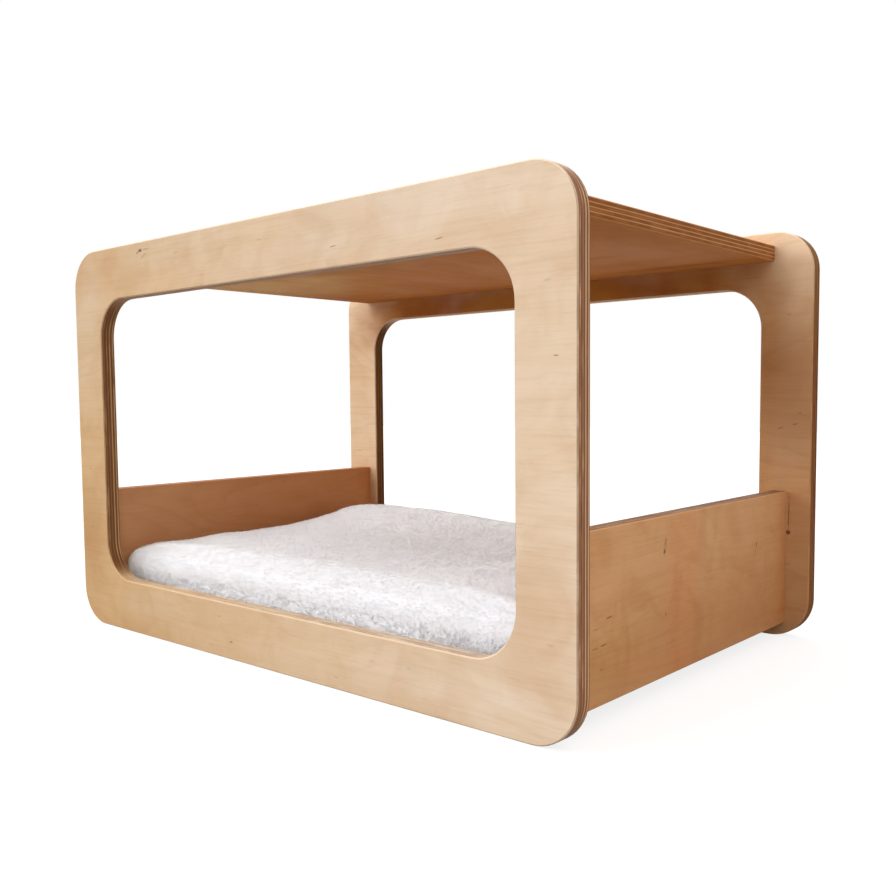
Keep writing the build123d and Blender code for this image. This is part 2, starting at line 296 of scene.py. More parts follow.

    # Patches of painted light and shade, patches of tone and marks, on one outer veneer only
    if marks or tone_and_light_patches:
        flat = t.join(along, across, 0.0)
        side = ("LESS_THAN", 0.5) if marks_low else ("GREATER_THAN", ply_count - 1.5)
        outer = t.math(side[0], number, side[1])
        sway = t.math("MULTIPLY_ADD", stretched(along, 22.0, across, 22.0, through, detail=2.0), 0.8, -0.4)
        patched = outer
        if patch_stop:
            stop, start, end = patch_stop
            beside = t.step(t.math("ABSOLUTE", along), start, end)
            patched = t.times(outer, t.math("MAXIMUM", t.math("LESS_THAN", across, stop), beside))
        for *place, tint in tone_and_light_patches:
            share = t.times(patch(t, flat, sway, 0.6, *place), patched)
            tone = t.mix(share, tone, t.tint(tone, *tint))
        frayed = stretched(along, 900.0, across, 900.0, through, detail=3.0)
        ripple = t.math("MULTIPLY_ADD", frayed, 1.1, -0.55)
        # Marks: knots, flecks and dashes, and on the rear frame the painted shadow of a gap.
        mark_and_shadow_mask = 0.0
        for mark in marks:
            mark_and_shadow_mask = t.math("MAXIMUM", mark_and_shadow_mask, patch(t, flat, ripple, 0.35, *mark))
        tone = t.mix(t.times(mark_and_shadow_mask, outer), tone, mark_and_shadow_brown)

    # Cut fibres, darker on the sawn ends than on the long edges
    across_fibres = t.step(t.mix(odd, to_along, to_across), 0.25, 0.85)
    smoke = t.step(stretched(along, 60.0, across, 60.0, own), 0.35, 0.65)
    sawn_end = t.step(to_along, 0.3, 0.9)
    pale_cut = t.mix(sawn_end, t.tint(board, *long_cuts[0]), t.tint(board, 0.58, 0.44, 0.35))
    dark_cut = t.mix(sawn_end, t.tint(board, *long_cuts[1]), t.tint(board, 0.36, 0.24, 0.17))
    cut = t.mix(smoke, pale_cut, dark_cut)
    cut = t.mix(t.step(pores, 0.45, 0.75, 0.0, 0.12), cut, heart_brown)
    tone = t.mix(across_fibres, tone, cut)
    pale_end = t.times(sawn_end, t.math("SUBTRACT", 1.0, across_fibres))
    tone = t.mix(pale_end, tone, t.tint(tone, *pale_plies))

    # The edges: scorched patches, broken glue lines and tints, some of which paint light and shade
    on_edge = t.step(to_face, 0.60, 0.30)
    scorched = t.math("MULTIPLY_ADD", luck, 0.5, stretched(along, 32.0, across, 32.0, own))
    scorched = t.times(t.step(scorched, 0.62, 0.88), scorch)
    burnt = t.times(on_edge, t.math("MULTIPLY_ADD", sawn_end, 1 - burnt_share, burnt_share))
    tone = t.mix(t.times(burnt, scorched), tone, t.tint(board, 0.42, 0.27, 0.18))
    broken = t.step(stretched(along, 36.0, across, 36.0, t.times(number, 3.1)), 0.42, 0.60, 0.1, 1.0)
    broken = t.math("MAXIMUM", t.times(broken, on_edge), burnt)
    glue = t.times(t.step(to_glue, 0.13, 0.02, 0.0, 0.6), broken)
    tone = t.mix(glue, tone, t.tint(board, 0.24, 0.15, 0.10))
    # The scorch, with painted shade on the frames' edges; on the roof a lift out of its painted shade.
    tone = t.mix(burnt, tone, t.tint(tone, *edge_scorch_and_shade))
    if end_tint:
        start, end, tint = end_tint
        tone = t.mix(t.times(burnt, t.step(along, start, end)), tone, t.tint(tone, *tint))
    if top_tint:
        top = t.times(t.math("GREATER_THAN", number, ply_count - 1.5), t.step(to_face, 0.5, 0.9))
        tone = t.mix(top, tone, t.tint(tone, *top_tint))
    # Painted highlight on long edges that face up, painted shade on those that face down.
    if long_edge_painted_light:
        long_edge = t.times(on_edge, t.math("SUBTRACT", 1.0, sawn_end))
        facing_down = t.step(signed[axis_numbers[axes[1]]], 0.3, -0.3)
        lit, shaded = (t.tint(tone, *tint) for tint in long_edge_painted_light)
        tone = t.mix(long_edge, tone, t.mix(facing_down, lit, shaded))
    # Arrises lightened: partly wear, partly a painted highlight along them.
    arris_wear_and_highlight = t.times(t.step(to_face, 0.35, 0.55), t.step(to_face, 0.99, 0.90))
    rub_and_highlight_share = t.times(arris_wear_and_highlight, t.math("MULTIPLY_ADD", sawn_end, end_rub_and_highlight - usual_rub_and_highlight, usual_rub_and_highlight))
    tone = t.mix(rub_and_highlight_share, tone, t.tint(board, 1.08, 1.06, 1.04))

    height = t.math("MULTIPLY_ADD", streaks, 0.5, t.times(pores, -0.5))
    height = t.times(height, t.step(across_fibres, 0.0, 1.0, 1.0, 0.06))
    roughness = t.mix(t.step(slow, 0.3, 0.7), 0.58, 0.70)
    shine = {"Specular IOR Level": gloss}
    return t.shade(tone, roughness, height, strength=0.22, distance=0.15 * mm, **shine)


# %% [markdown]
# ## The boards
#
# Every board was cut from another part of a sheet, so each has its own tone and figure. The roof and the
# two side panels lie in shade and have deeper, redder tones than the frames: partly their own tone, partly
# painted shade, out of which the roof's upper face is lifted again. The rear frame turns to its deep tone
# low down and to the right, where shade falls on it: painted shade too. The two frames have their grain
# running across the shelf, right through the stiles. The marks are the small knots, pith flecks and dark
# dashes that show on the real boards, placed by their distance from the middle of the shelf and from its
# base. One upright line on the rear frame, beside the right side panel, is the painted shadow of the gap
# there.

# %% Dress the boards
front_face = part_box("front_frame")[0].y
rear_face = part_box("rear_frame")[0].y
front_marks = [
    (-148, 303.2, 5, 2.6, 0, 0.95),
    (-151.5, 302, 5, 1.6, 20, 0.55),
    (-140.5, 303.4, 8, 0.9, 0, 0.45),
    (-143.5, 298.6, 9, 2.6, 20, 0.22),
    (70.7, 282.1, 7, 0.8, 4, 0.60),
    (158.1, 276.8, 6.5, 0.9, 8, 0.62),
    (236.8, 208.5, 3.2, 1, 0, 0.55),
    (-44.2, 13, 4.2, 1.6, 10, 0.55),
    (-58, 30, 5, 0.8, 4, 0.30),
    (-226, 214, 3, 0.8, 0, 0.40),
]
# Painted light and shade on the front frame, as patches, among them a painted highlight along the lower edge
# of the top rail.
front_painted_light_and_shade = [
    (-234, 246, 56, 130, 0, 0.9, (1.04, 1.16, 1.42)),
    (-160, 288, 150, 46, 6, 0.8, (1.01, 1.03, 1.07)),
    (85, 300, 110, 50, 0, 0.8, (0.94, 0.94, 0.93)),
    (-10, 279, 150, 24, 0, 0.9, (1.06, 1.12, 1.24)),
    (-236, 66, 40, 110, 0, 0.9, (0.90, 0.87, 0.84)),
    (-110, 304, 190, 34, 0, 0.8, (1.04, 1.14, 1.28)),
    (232, 62, 46, 110, 0, 0.9, (0.93, 0.87, 0.82)),
    (130, 300, 210, 44, 0, 0.8, (1.05, 1.11, 1.22)),
    (150, 14, 190, 34, 0, 0.9, (1.07, 1.13, 1.23)),
    (96, 296, 60, 22, -8, 0.6, (0.97, 0.90, 0.82)),
    (-36, 300, 50, 16, 6, 0.6, (0.96, 0.92, 0.88)),
    (-150, 24, 120, 30, 4, 0.7, (1.01, 1.06, 1.16)),
    (60, 22, 120, 18, -3, 0.5, (1.04, 1.03, 1.02)),
    (230, 160, 44, 30, 10, 0.6, (0.97, 0.92, 0.86)),
]
rear_marks_and_gap_shadow = [
    (237.6, 164.3, 4, 1.4, 12, 0.55),
    (226.2, 161.1, 5, 1.2, 20, 0.45),
    (241.2, 172.6, 3.4, 1.2, -10, 0.40),
    (233.6, 81.4, 4, 3.6, 0, 0.90),
    # Painted shadow: the dark gap between the right side panel's end and the rear stile.
    (233.9, 95, 1, 27, -1, 0.65),
]
# Painted light and shade on the rear frame: the roof's deep shade on the top rail, with lighter and darker
# patches on the stiles.
rear_painted_light_and_shade = [
    (0, 272, 445, 84, 0, 1, (0.44, 0.165, 0.03)),
    (0, 272, 215, 84, 0, 1, (1.24, 1.90, 3.30)),
    (150, 275, 110, 60, 0, 1, (0.84, 0.70, 0.38)),
    (-152, 275, 110, 60, 0, 1, (0.80, 0.56, 0.22)),
    (214, 240, 34, 90, 0, 0.8, (0.80, 0.64, 0.46)),
    (238, 290, 36, 76, 0, 0.9, (1.06, 1.09, 1.12)),
    (232, 190, 60, 110, 0, 0.9, (0.80, 0.79, 0.82)),
    (240, 62, 40, 90, 0, 0.9, (1.08, 1.15, 1.22)),
    (-232, 180, 60, 300, 0, 0.9, (0.92, 0.87, 0.80)),
    (212, 150, 18, 160, 0, 0.5, (0.88, 0.80, 0.68)),
]
right_marks = [
    (-39.6, 90.8, 2.6, 3.8, -20, 0.85),
    (-38.2, 96.4, 1.5, 4.8, -12, 0.65),
    (-38.6, 94, 4, 13, -10, 0.18),
    (98.2, 78.4, 1.8, 4.4, -6, 0.60),
    (97, 73, 1.2, 6, -4, 0.42),
    (-104.6, 60.9, 7, 1.2, 4, 0.66),
    (-118.6, 56.2, 5, 0.9, 0, 0.35),
    (-110.6, 45.9, 7, 1.2, 3, 0.62),
    (-119.2, 45.4, 7, 1, 0, 0.42),
    (-112.7, 32.2, 3.4, 1.4, 0, 0.35),
    (-37.2, 51, 2, 2.4, 0, 0.50),
    (108, 45.5, 7, 1, 4, 0.25),
    (17.5, 66.5, 2, 1.2, 0, 0.28),
]
# Patches that make the panel lighter or darker in places.
right_tone_patches = [
    (-14, 64, 40, 120, -4, 0.9, (1.05, 0.94, 0.90)),
    (28, 88, 26, 44, 8, 0.8, (1.03, 1.08, 1.02)),
    (-96, 40, 70, 36, 12, 0.8, (0.94, 0.96, 0.84)),
    (-110, 76, 44, 24, 4, 0.7, (1.04, 1.05, 1.10)),
    (64, 50, 30, 70, -14, 0.7, (0.96, 0.90, 0.82)),
    (-40, 20, 110, 18, -6, 0.6, (1.03, 0.93, 0.84)),
]
# Painted light and shade on the roof's underside, as patches, darker where it meets the rear frame.
roof_painted_light_and_shade = [
    (-25, -175, 170, 200, 0, 1, (1.32, 2.00, 2.90)),
    (-90, -20, 110, 170, 0, 0.9, (0.95, 1.20, 1.60)),
    (126, 150, 16, 100, 0, 0.8, (0.72, 0.62, 0.50)),
    (38, 138, 12, 40, -20, 0.6, (0.80, 0.70, 0.60)),
    (84, 120, 26, 150, 4, 0.5, (0.84, 0.76, 0.66)),
    (20, 60, 40, 60, 30, 0.5, (1.10, 1.10, 1.10)),
    (-60, -40, 60, 160, -8, 0.5, (0.86, 0.80, 0.72)),
    (40, -150, 90, 40, 12, 0.5, (1.08, 1.10, 1.12)),
]
front_birch = plywood(
    "birch_front", "xzy", front_face, colour(0.775, 0.615, 0.455), colour(0.60, 0.385, 0.185),
    seed=1.3, tone_and_shade_drift=(2.0, 0.5, 0.45), marks=front_marks, tone_and_light_patches=front_painted_light_and_shade,
    figure=0.25, flame=0.9, flecks=0.3, long_cuts=((1.06, 1.06, 1.06), (0.70, 0.58, 0.50)),
    long_edge_painted_light=((1.04, 1.20, 1.40), (0.66, 0.57, 0.51)), edge_scorch_and_shade=(0.75, 0.54, 0.42),
    pale_plies=(1.22, 1.36, 1.42), end_rub_and_highlight=0.0, end_tint=(-190 * mm, -206 * mm, (0.88, 1.04, 1.18)),
)
rear_birch = plywood(
    "birch_rear", "xzy", rear_face, colour(0.86, 0.665, 0.47), colour(0.625, 0.352, 0.176),
    seed=7.7, tone_and_shade_drift=(-4.2, 12.0, -1.55), marks=rear_marks_and_gap_shadow, tone_and_light_patches=rear_painted_light_and_shade, edge_scorch_and_shade=(0.29, 0.19, 0.085),
    gloss=0.05, end_tint=(236 * mm, 246 * mm, (1.75, 1.90, 2.00)), patch_stop=(294 * mm, 185 * mm, 221 * mm),
)
# The roof's deep, red tone is partly painted shade; top_tint lifts its upper face out of it.
roof_birch = plywood(
    "birch_roof", "yxz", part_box("roof_panel")[0].z, colour(0.565, 0.232, 0.063), colour(0.495, 0.180, 0.044),
    seed=3.1, tone_and_shade_drift=(0, 1.0, 0.5), tone_and_light_patches=roof_painted_light_and_shade, cross_veneer=1.60, edge_scorch_and_shade=(1.16, 1.44, 2.20),
    burnt_share=0.9, long_cuts=((0.60, 0.48, 0.40), (0.42, 0.30, 0.23)), scorch=0.25, gloss=0.05,
    top_tint=(1.22, 2.05, 4.30),
)
floor_birch = plywood(
    "birch_floor", "yxz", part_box("floor_panel")[0].z, colour(0.74, 0.53, 0.35), colour(0.64, 0.43, 0.26),
    seed=5.9, tone_and_shade_drift=(0, 1.0, 0.5), cross_veneer=1.65,
)
# The side panels' deep, red tones are partly their own and partly painted shade.
left_birch = plywood(
    "birch_left", "yzx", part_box("left_side_panel")[0].x, colour(0.565, 0.298, 0.150),
    colour(0.522, 0.196, 0.062), seed=9.4, tone_and_shade_drift=(-2.5, 0, 0.5), cross_veneer=1.65, flecks=0.3,
    edge_scorch_and_shade=(0.80, 0.80, 0.82),
)
right_birch = plywood(
    "birch_right", "yzx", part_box("right_side_panel")[0].x, colour(0.72, 0.392, 0.185),
    colour(0.505, 0.235, 0.094), seed=11.2, tone_and_shade_drift=(-3.0, 4.0, 0.35), marks=right_marks, marks_low=False,
    tone_and_light_patches=right_tone_patches, flame=1.2, figure=0.3, flecks=0.15, cross_veneer=1.65,
    edge_scorch_and_shade=(0.62, 0.72, 0.86), burnt_share=0.9,
)
dress(front_birch, "front_frame")
dress(rear_birch, "rear_frame")
dress(roof_birch, "roof_panel")
dress(floor_birch, "floor_panel")
dress(left_birch, "left_side_panel")
dress(right_birch, "right_side_panel")

# %% [markdown]
# ## Dowels, screws and hanging plates
#
# The beech dowels are hidden in the joints and only need plain wood with short flecks along the pin. The
# screws and the keyhole plates show on the wall side. They are zinc plated steel: a cool grey metal whose
# plating clouds a little and carries fine drawing lines from the mill.


# %% Small hardware finishes
def beech(name):
    """Raw beech: pale brown with short darker flecks."""
    t = Finish(name)
    place = t.add("TexCoord", {}, output="Object")
    flecks = t.noise(place, scale=1800.0, detail=2.0)
    cloud = t.noise(place, scale=220.0)
    tone = t.mix(cloud, colour(0.62, 0.43, 0.27), colour(0.52, 0.34, 0.20))
    tone = t.mix(t.step(flecks, 0.55, 0.75, 0.0, 0.5), tone, colour(0.30, 0.17, 0.09))
    return t.shade(tone, 0.7, flecks)


def zinc(name):
    """Zinc plated steel: grey metal, clouded, with fine lines along the height."""
    t = Finish(name)
    place = t.add("TexCoord", {}, output="Object")
    x, y, z = t.split(place)
    lines = t.noise(t.join(t.times(x, 5200.0), t.times(y, 5200.0), t.times(z, 90.0)))
    cloud = t.noise(place, scale=160.0, detail=4.0, roughness=0.6)
    tone = t.mix(t.step(cloud, 0.35, 0.65), colour(0.62, 0.63, 0.65), colour(0.50, 0.51, 0.53))
    roughness = t.math("ADD", t.step(cloud, 0.35, 0.65, 0.26, 0.38), t.times(lines, 0.12))
    metal = {"Metallic": 1.0, "Specular IOR Level": 0.5}
    return t.shade(tone, roughness, lines, strength=0.08, distance=0.02 * mm, **metal)


dress(beech("beech"), *[name for name in nodes if name.endswith("dowels")])
dress(zinc("zinc_steel"), *[name for name in nodes if name.endswith(("screws", "plate"))])

# %% [markdown]
# ## The cushion's form
#
# The cushion is a pad of wadding between a plush top and a plain base cloth. It could be pushed into shape
# from a box, but a form that follows from a few sizes is easier to keep clear of the wood round it. So its
# outline is a rounded rectangle whose sides pull in between the corners, and rings of that outline are
# carried along a profile: flat under the pad, round the lower edge, up the side, over the upper roll and
# in over the crown.

# %% Cushion sizes, taken from the solid that it stands for
plush_low, plush_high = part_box("cushion_plush_top")
half_width = (plush_high.x - plush_low.x) / 2
half_depth = (plush_high.y - plush_low.y) / 2
base_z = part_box("cushion_base_cloth")[0].z
edge_height = 39.5 * mm
crown_rise = 3 * mm
corner_radius = 9 * mm
draw_in = 2.0 * mm
bottom_roll = 9 * mm
top_roll = 12 * mm
swell_room = 1.6 * mm  # left for the swelling below
cloth_room = 0.8 * mm  # left under the cover for the base cloth
outline_points = 160
near_middle = 0.98  # how far in the first and the last ring lie


def rounded_outline(half_x, half_y, corner, count):
    """Points evenly spaced round a rounded rectangle, from the middle of its +X side, anticlockwise.

    The outline is a small rectangle pushed out by a circle: four straight runs, and between them quarter
    turns. A point's distance along the outline finds its run or its turn, by linear interpolation in the
    table of where each of them starts.
    """
    run_x, run_y = half_x - corner, half_y - corner
    turn = corner * tau / 4
    runs = np.array([run_y, turn, 2 * run_x, turn, 2 * run_y, turn, 2 * run_x, turn, run_y])
    starts = np.concatenate([[0.0], np.cumsum(runs)])
    angles = np.array([0, 0, 1, 1, 2, 2, 3, 3, 4, 4]) * tau / 4
    centre_x = np.array([1, 1, 1, -1, -1, -1, -1, 1, 1, 1]) * run_x
    centre_y = np.array([0, 1, 1, 1, 1, -1, -1, -1, -1, 0]) * run_y
    along = np.linspace(0, starts[-1], count, endpoint=False)
    angle = np.interp(along, starts, angles)
    x = np.interp(along, starts, centre_x) + corner * np.cos(angle)
    y = np.interp(along, starts, centre_y) + corner * np.sin(angle)
    return x, y


def drawn_in(x, y, most):
    """The same outline with its sides pulled in by most at their middles and not at all at the corners."""
    pull_x = most * np.maximum(0, 1 - (y / half_depth) ** 2) * (np.abs(x) / half_width) ** 6
    pull_y = most * np.maximum(0, 1 - (x / half_width) ** 2) * (np.abs(y) / half_depth) ** 6
    return x - np.sign(x) * pull_x, y - np.sign(y) * pull_y


def cushion_rings(half_x, half_y, height, crown, count):
    """The cushion's rings of points, from the middle of its base to the middle of its top.

    A profile of (inset, height) pairs runs in along the base, round the lower roll, up the side, round the
    upper roll and in over the crown, which rises as a parabola. Each pair is one ring of the outline.
    """
    flat = np.linspace(half_y * near_middle, bottom_roll, 12, endpoint=False)
    lower = np.linspace(0, tau / 4, 6)
    upper = np.linspace(0, radians(72), 7)
    inset = np.concatenate([flat, bottom_roll * (1 - np.sin(lower)), top_roll * (1 - np.cos(upper))])
    rise = np.concatenate(
        [flat * 0, bottom_roll * (1 - np.cos(lower)), height - top_roll + top_roll * np.sin(upper)]
    )
    share = np.linspace(0, 1, 16)[1:]
    inset = np.concatenate([inset, inset[-1] + share * (half_y * near_middle - inset[-1])])
    rise = np.concatenate([rise, rise[-1] + crown * (1 - (1 - share) ** 2)])
    rings = []
    for ring_inset, ring_rise in zip(inset, rise):
        shrink = 1 - ring_inset / half_y
        outline = rounded_outline(half_x - ring_inset, half_y - ring_inset, corner_radius * shrink, count)
        x, y = drawn_in(*outline, draw_in * shrink)
        rings.append(np.stack([x, y, np.full(count, ring_rise)], axis=1))
    return np.array(rings)


def mesh_object(name, points, faces):
    """An object at the origin with these points and faces, shaded smooth."""
    mesh = bpy.data.meshes.new(name)
    mesh.from_pydata(points, [], faces)
    mesh.update()
    mesh.shade_smooth()
    piece = bpy.data.objects.new(name, mesh)
    bpy.context.scene.collection.objects.link(piece)
    return piece


def ring_faces(ring_count, point_count, looped=False):
    """Quads between neighbouring rings. The first and the last ring get a face each, or meet in a loop."""
    ring, point = np.meshgrid(np.arange(ring_count - (not looped)), np.arange(point_count), indexing="ij")
    after = (point + 1) % point_count
    here, there = ring * point_count, (ring + 1) % ring_count * point_count
    quads = np.stack([here + point, here + after, there + after, there + point], axis=-1)
    quads = quads.reshape(-1, 4).tolist()
    if looped:
        return quads
    last = (ring_count - 1) * point_count
    return quads + [list(range(point_count - 1, -1, -1)), list(range(last, last + point_count))]


shrunk = half_width - swell_room, half_depth - swell_room
rings = cushion_rings(*shrunk, edge_height, crown_rise, outline_points)
rings[:, :, 2] += base_z + cloth_room
cover = mesh_object("cushion_cover", rings.reshape(-1, 3).tolist(), ring_faces(*rings.shape[:2]))
print("cushion form:", rings.shape[0], "rings of", rings.shape[1], "points")

# %% [markdown]
# ## Swelling the pad
#
# Stuffing pushes cloth out where it can and pulls it tight where it can't, which is hard to draw by hand and
# easy to simulate. The form is remeshed into even squares, blown up as cloth for a moment with its base held
# down, and stopped before it moves far. A last step adds the slow waves of a pad that has been lain on: it is
# fullest along the back, low in the middle and dips behind the front rail.


# %% Swell and settle
held_height = 2 * mm  # of the base, while the cloth swells
soft_stop = 2 * mm  # over which points are slowed down near the wood
voxel = 5 * mm


def values_of(items, name, size=3):
    """One property of all of a mesh's points or faces, as an array."""
    flat = np.empty(len(items) * size)
    items.foreach_get(name, flat)
    return flat.reshape(-1, size) if size > 1 else flat


def points_of(piece):
    """A mesh's points as an array."""
    return values_of(piece.data.vertices, "co")


def set_points(piece, points):
    """Writes an array of points back into a mesh."""
    piece.data.vertices.foreach_set("co", points.ravel())
    piece.data.update()


def apply_modifier(piece, name):
    """Applies one modifier of a piece."""
    bpy.context.view_layer.objects.active = piece
    bpy.ops.object.modifier_apply(modifier=name)


def remesh(piece, size):
    """Rebuilds a closed piece from even squares of about this size."""
    modifier = piece.modifiers.new("even", "REMESH")
    modifier.mode = "VOXEL"
    modifier.voxel_size = size
    modifier.use_smooth_shade = True
    apply_modifier(piece, "even")


def swell(piece, pressure, frames, cap):
    """Blows a closed piece up as cloth, with its base pinned, and caps how far a point may move."""
    start = points_of(piece)
    held = piece.vertex_groups.new(name="held")
    held.add(np.nonzero(start[:, 2] < start[:, 2].min() + held_height)[0].tolist(), 1.0, "REPLACE")
    cloth = piece.modifiers.new("cloth", "CLOTH")
    cloth.settings.use_pressure = True
    cloth.settings.uniform_pressure_force = pressure
    cloth.settings.vertex_group_mass = "held"
    cloth.settings.quality = 5
    cloth.settings.effector_weights.gravity = 0.0
    cloth.point_cache.frame_start = 1
    cloth.point_cache.frame_end = frames
    for number in range(1, frames + 1):
        bpy.context.scene.frame_set(number)
    apply_modifier(piece, "cloth")
    bpy.context.scene.frame_set(1)
    piece.vertex_groups.clear()
    move = points_of(piece) - start
    length = np.linalg.norm(move, axis=1, keepdims=True)
    set_points(piece, start + move * np.minimum(1.0, cap / np.maximum(length, 1e-9)))
    print("swelling moved points by up to", round(float(length.max() / mm), 1), "mm, capped at", cap / mm)


def settle(points):
    """Slow waves on the upper side, and corners stuffed outwards.

    Each wave is a bell of (x, y, rise, spread along x, spread along y) in millimetres, and they add up. The
    share of a wave that a point gets grows from nothing at the base to all of it at the top. Near a corner
    a point moves outwards by a bell of its distance from that corner.
    """
    waves = [
        (-185, 88, 8.5, 75, 55),
        (-90, 155, 12.0, 85, 50),
        (70, 150, 5.0, 110, 55),
        (-110, 0, -1.0, 90, 80),
        (30, 20, -2.5, 110, 70),
        (150, -60, 1.5, 80, 50),
        (-205, -80, 2.6, 40, 20),
        (-215, -98, -4.0, 60, 30),
    ]
    x, y, z = (points / mm).T
    rise = np.zeros(len(points))
    for wave_x, wave_y, height, spread_x, spread_y in waves:
        rise += height * np.exp(-(((x - wave_x) / spread_x) ** 2) - ((y - wave_y) / spread_y) ** 2)
    share = np.clip((z - base_z / mm) / (edge_height / mm), 0, 1) ** 1.5
    corner_push, corner_spread, push_from = 3.2, 26, 12
    far = np.hypot(np.abs(x) - half_width / mm, np.abs(y) - half_depth / mm)
    push = corner_push * np.exp(-((far / corner_spread) ** 2)) * np.clip((z - base_z / mm) / push_from, 0, 1)
    return points + np.stack([np.sign(x) * push, np.sign(y) * push, rise * share], axis=1) * mm


def keep_inside(points, room):
    """Keeps points inside the wood, softly: over the stop d, a distance s becomes d·tanh(s/d)."""
    for axis, half in ((0, half_width - room), (1, half_depth - room)):
        over = np.abs(points[:, axis]) - (half - soft_stop)
        pressed = half - soft_stop + soft_stop * np.tanh(np.maximum(over, 0) / soft_stop)
        points[:, axis] = np.where(over > 0, np.sign(points[:, axis]) * pressed, points[:, axis])
    points[:, 2] = np.maximum(points[:, 2], base_z + 0.2 * mm)
    return points


remesh(cover, voxel)
swell(cover, pressure=4.0, frames=20, cap=6 * mm)
set_points(cover, keep_inside(settle(points_of(cover)), room=1.2 * mm))
print("cushion top at", round(float(points_of(cover)[:, 2].max() / mm), 1), "mm")

# %% [markdown]
# ## Plush
#
# The cover is short white plush whose fibres cling together in soft tufts. Hair particles would render well
# but don't leave the program as a mesh. So the pile is a real mesh: the cover gets a lumpy skin, and tens
# of thousands of small bent cones stand on it, each one tuft. Their places are drawn at random over the
# upper side, more of them where the skin is larger, with a fixed seed.


# %% Lumpy skin
def lattice_noise(points, size, seed):
    """Smooth random values from -1 to 1: a random number at each lattice corner, blended inside each cell.

    The lattice has cells of this size. A corner's number is a hash of its three whole coordinates and the
    seed. The blend weights follow the smooth step 3t² - 2t³ along each axis.
    """
    scaled = points / size
    corner = np.floor(scaled).astype(np.int64)
    part = scaled - corner
    weight = part * part * (3 - 2 * part)
    total = np.zeros(len(points))
    for number in range(8):
        offset = np.array([number & 1, number >> 1 & 1, number >> 2 & 1])
        cell = corner + offset
        mixed = cell[:, 0] * 374761393 + cell[:, 1] * 668265263 + cell[:, 2] * 2147483647 + seed * 974634777
        mixed = (mixed ^ (mixed >> 13)) * 1274126177
        value = ((mixed ^ (mixed >> 16)) & 0xFFFF) / 32767.5 - 1
        total += value * np.prod(np.where(offset == 1, weight, 1 - weight), axis=1)
    return total


def shagginess(points):
    """How shaggy the plush is: 1 low on the sides, where it has not been stroked flat, and 0 on the top."""
    low = np.clip((base_z + 26 * mm - points[:, 2]) / (9 * mm), 0, 1)
    return low * low * (3 - 2 * low)


def subdivide(piece, levels):
    """Rounds a piece off by subdivision, applied."""
    modifier = piece.modifiers.new("round", "SUBSURF")
    modifier.levels = modifier.render_levels = levels
    apply_modifier(piece, "round")


subdivide(cover, 2)
skin, up = points_of(cover), values_of(cover.data.vertex_normals, "vector")
lump_height = 0.6 * mm
lumps = 0.6 * lattice_noise(skin, 13 * mm, 1) + 0.4 * lattice_noise(skin, 4.5 * mm, 2)
lumps *= np.clip((skin[:, 2] - base_z - 4 * mm) / (6 * mm), 0, 1) * (0.1 + 0.9 * shagginess(skin))
set_points(cover, keep_inside(skin + up * (lumps * lump_height)[:, None], room=1.0 * mm))
print("cushion cover:", len(cover.data.polygons), "faces")


# %% Tufts of pile
def scatter(piece, count, lowest, seed):
    """Random places on a mesh above a height, with their normals: faces are drawn by their area."""
    faces = piece.data.polygons
    centre, normal = values_of(faces, "center"), values_of(faces, "normal")
    area = values_of(faces, "area", size=1) * (centre[:, 2] > lowest)
    random = np.random.default_rng(seed)
    chosen = random.choice(len(area), count, p=area / area.sum())
    spread = np.sqrt(area[chosen])[:, None]
    return centre[chosen] + random.uniform(-0.5, 0.5, (count, 3)) * spread, normal[chosen], random


